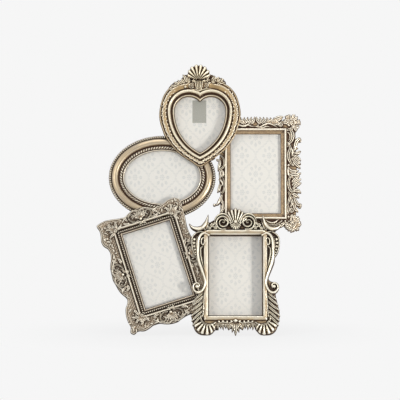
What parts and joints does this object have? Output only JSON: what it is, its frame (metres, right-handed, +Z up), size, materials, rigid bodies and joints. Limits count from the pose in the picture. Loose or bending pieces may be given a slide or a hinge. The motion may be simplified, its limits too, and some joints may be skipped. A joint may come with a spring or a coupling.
{
  "type": "collage photo frame",
  "caption": "Standing cluster of carved frames in antique gold: a heart, an oval and rectangles, one of them tilted, glazed, leaning back on a hinged easel strut.",
  "frame": {"origin": "on the floor under the centre of the overall box of the standing frame", "axes": "+Z up, -Y towards the viewer of the pictures, +X to the viewer's right"},
  "size_m": [0.3796, 0.1236, 0.4958],
  "materials": {
    "heart_casting": "cast resin in antique gold paint",
    "oval_casting": "cast resin in champagne gold paint over brown",
    "leaf_casting": "cast resin in rosy champagne paint over brown",
    "tilted_casting": "cast resin in silvery bronze paint over dark brown",
    "scroll_casting": "cast resin in pale olive gold paint",
    "glass": "clear flat glass",
    "print_insert": "off-white paper with a pale scroll pattern",
    "backing_board": "dense board faced with dark paper",
    "zinc_hardware": "zinc plated steel",
    "strut_metal": "black lacquered steel",
    "strut_board": "dense board covered in black paper"
  },
  "bodies": {
    "frame": {"heart_frame": "heart_casting", "oval_frame": "oval_casting", "leaf_frame": "leaf_casting", "tilted_frame": "tilted_casting", "scroll_frame": "scroll_casting", "heart_glass": "glass", "heart_insert": "print_insert", "heart_backing_board": "backing_board", "oval_glass": "glass", "oval_insert": "print_insert", "oval_backing_board": "backing_board", "leaf_glass": "glass", "leaf_insert": "print_insert", "leaf_backing_board": "backing_board", "tilted_glass": "glass", "tilted_insert": "print_insert", "tilted_backing_board": "backing_board", "scroll_glass": "glass", "scroll_insert": "print_insert", "scroll_backing_board": "backing_board", "heart_oval_plate": "zinc_hardware", "heart_leaf_plate": "zinc_hardware", "oval_tilted_plate": "zinc_hardware", "tilted_scroll_plate": "zinc_hardware", "scroll_leaf_plate": "zinc_hardware", "joining_plate_screws": "zinc_hardware", "turn_button_screws": "zinc_hardware", "strut_bracket": "strut_metal", "strut_bracket_screws": "zinc_hardware", "strut_pin": "strut_metal"},
    "strut": {"strut_hinge_leaf": "strut_metal", "strut_leg": "strut_board", "strut_rivets": "strut_metal"},
    "heart_button_left": {"heart_button_left": "zinc_hardware"},
    "heart_button_right": {"heart_button_right": "zinc_hardware"},
    "oval_button_left": {"oval_button_left": "zinc_hardware"},
    "oval_button_right": {"oval_button_right": "zinc_hardware"},
    "leaf_button_top": {"leaf_button_top": "zinc_hardware"},
    "leaf_button_bottom": {"leaf_button_bottom": "zinc_hardware"},
    "tilted_button_left": {"tilted_button_left": "zinc_hardware"},
    "tilted_button_right": {"tilted_button_right": "zinc_hardware"},
    "scroll_button_top": {"scroll_button_top": "zinc_hardware"},
    "scroll_button_bottom": {"scroll_button_bottom": "zinc_hardware"}
  },
  "joints": [
    {"name": "heart_button_left_turn", "type": "hinge", "parent": "frame", "child": "heart_button_left", "pos_m": [-0.04163, 0.04063, 0.43027], "axis": [0, 0.9848, -0.1736], "continuous": true},
    {"name": "heart_button_right_turn", "type": "hinge", "parent": "frame", "child": "heart_button_right", "pos_m": [0.04674, 0.04063, 0.43027], "axis": [0, 0.9848, -0.1736], "continuous": true},
    {"name": "oval_button_left_turn", "type": "hinge", "parent": "frame", "child": "oval_button_left", "pos_m": [-0.14499, 0.0152, 0.286], "axis": [0, 0.9848, -0.1736], "continuous": true},
    {"name": "oval_button_right_turn", "type": "hinge", "parent": "frame", "child": "oval_button_right", "pos_m": [0.01101, 0.0152, 0.286], "axis": [0, 0.9848, -0.1736], "continuous": true},
    {"name": "leaf_button_top_turn", "type": "hinge", "parent": "frame", "child": "leaf_button_top", "pos_m": [0.10501, 0.03029, 0.37161], "axis": [0, 0.9848, -0.1736], "continuous": true},
    {"name": "leaf_button_bottom_turn", "type": "hinge", "parent": "frame", "child": "leaf_button_bottom", "pos_m": [0.10501, 0.00233, 0.21305], "axis": [0, 0.9848, -0.1736], "continuous": true},
    {"name": "tilted_button_left_turn", "type": "hinge", "parent": "frame", "child": "tilted_button_left", "pos_m": [-0.1283, -0.0158, 0.11021], "axis": [0, 0.9848, -0.1736], "continuous": true},
    {"name": "tilted_button_right_turn", "type": "hinge", "parent": "frame", "child": "tilted_button_right", "pos_m": [-0.02244, -0.01001, 0.14308], "axis": [0, 0.9848, -0.1736], "continuous": true},
    {"name": "scroll_button_top_turn", "type": "hinge", "parent": "frame", "child": "scroll_button_top", "pos_m": [0.06755, -0.00249, 0.18568], "axis": [0, 0.9848, -0.1736], "continuous": true},
    {"name": "scroll_button_bottom_turn", "type": "hinge", "parent": "frame", "child": "scroll_button_bottom", "pos_m": [0.06755, -0.03045, 0.02712], "axis": [0, 0.9848, -0.1736], "continuous": true},
    {"name": "strut_hinge", "type": "hinge", "parent": "frame", "child": "strut", "pos_m": [0.01652, 0.00348, 0.19021], "axis": [-1, 0, 0], "range_deg": [0, 26]}
  ]
}
